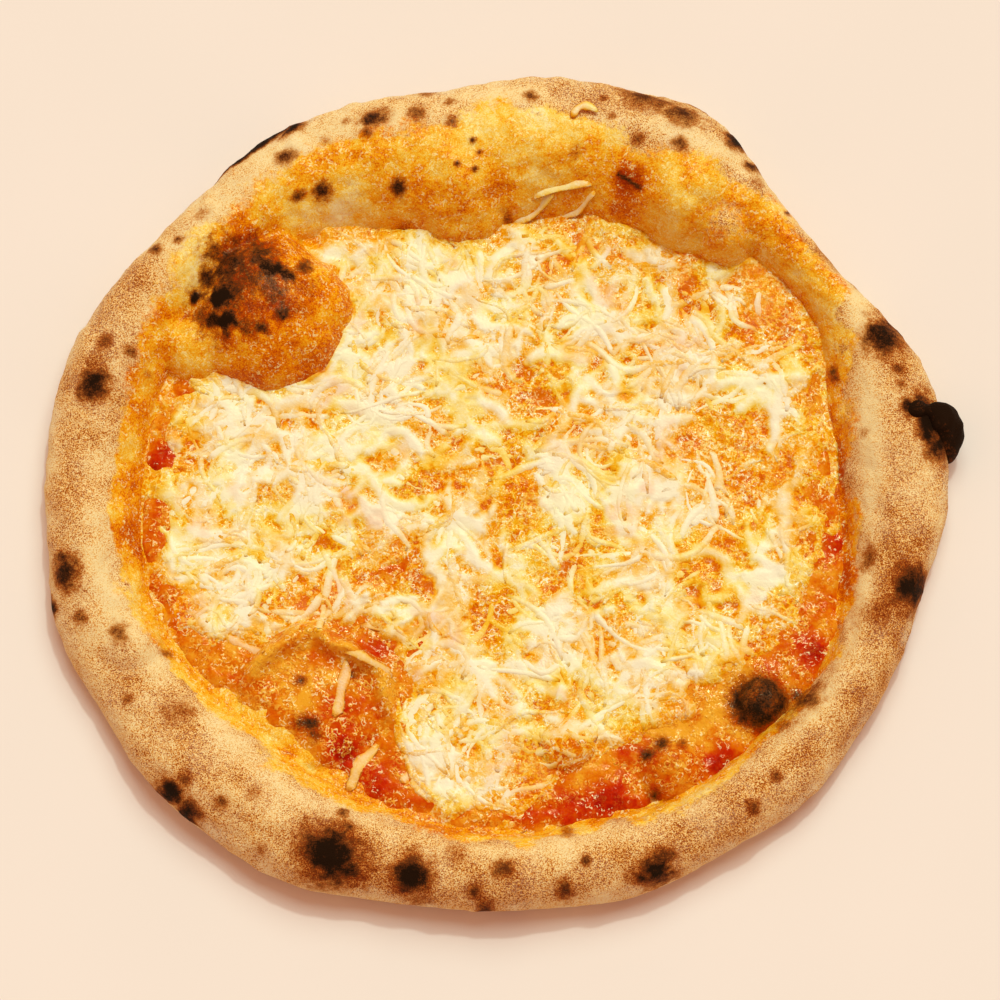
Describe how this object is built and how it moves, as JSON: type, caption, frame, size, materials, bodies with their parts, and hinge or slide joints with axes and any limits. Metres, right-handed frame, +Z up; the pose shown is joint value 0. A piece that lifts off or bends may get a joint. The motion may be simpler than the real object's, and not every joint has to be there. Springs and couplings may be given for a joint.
{
  "type": "margherita pizza",
  "caption": "Whole baked margherita pizza: puffed, charred dough rim and base, a thin tomato sauce layer and a sheet of melted shredded mozzarella.",
  "frame": {"origin": "middle of the dough's flat underside, on the surface the pizza rests on", "axes": "+Z up through the toppings; +Y towards the side of the rim with the two largest inner bulges; +X towards the side with the burnt blister"},
  "size_m": [0.3168, 0.2979, 0.0258],
  "materials": {
    "baked_dough": "floury baked crust, tan with brown and black blisters",
    "tomato_sauce": "wet, oily red-orange sauce",
    "melted_mozzarella": "melted cream-coloured cheese with an oily shine"
  },
  "bodies": {
    "root": {"dough": "baked_dough", "tomato_sauce": "tomato_sauce", "mozzarella": "melted_mozzarella"}
  },
  "joints": []
}
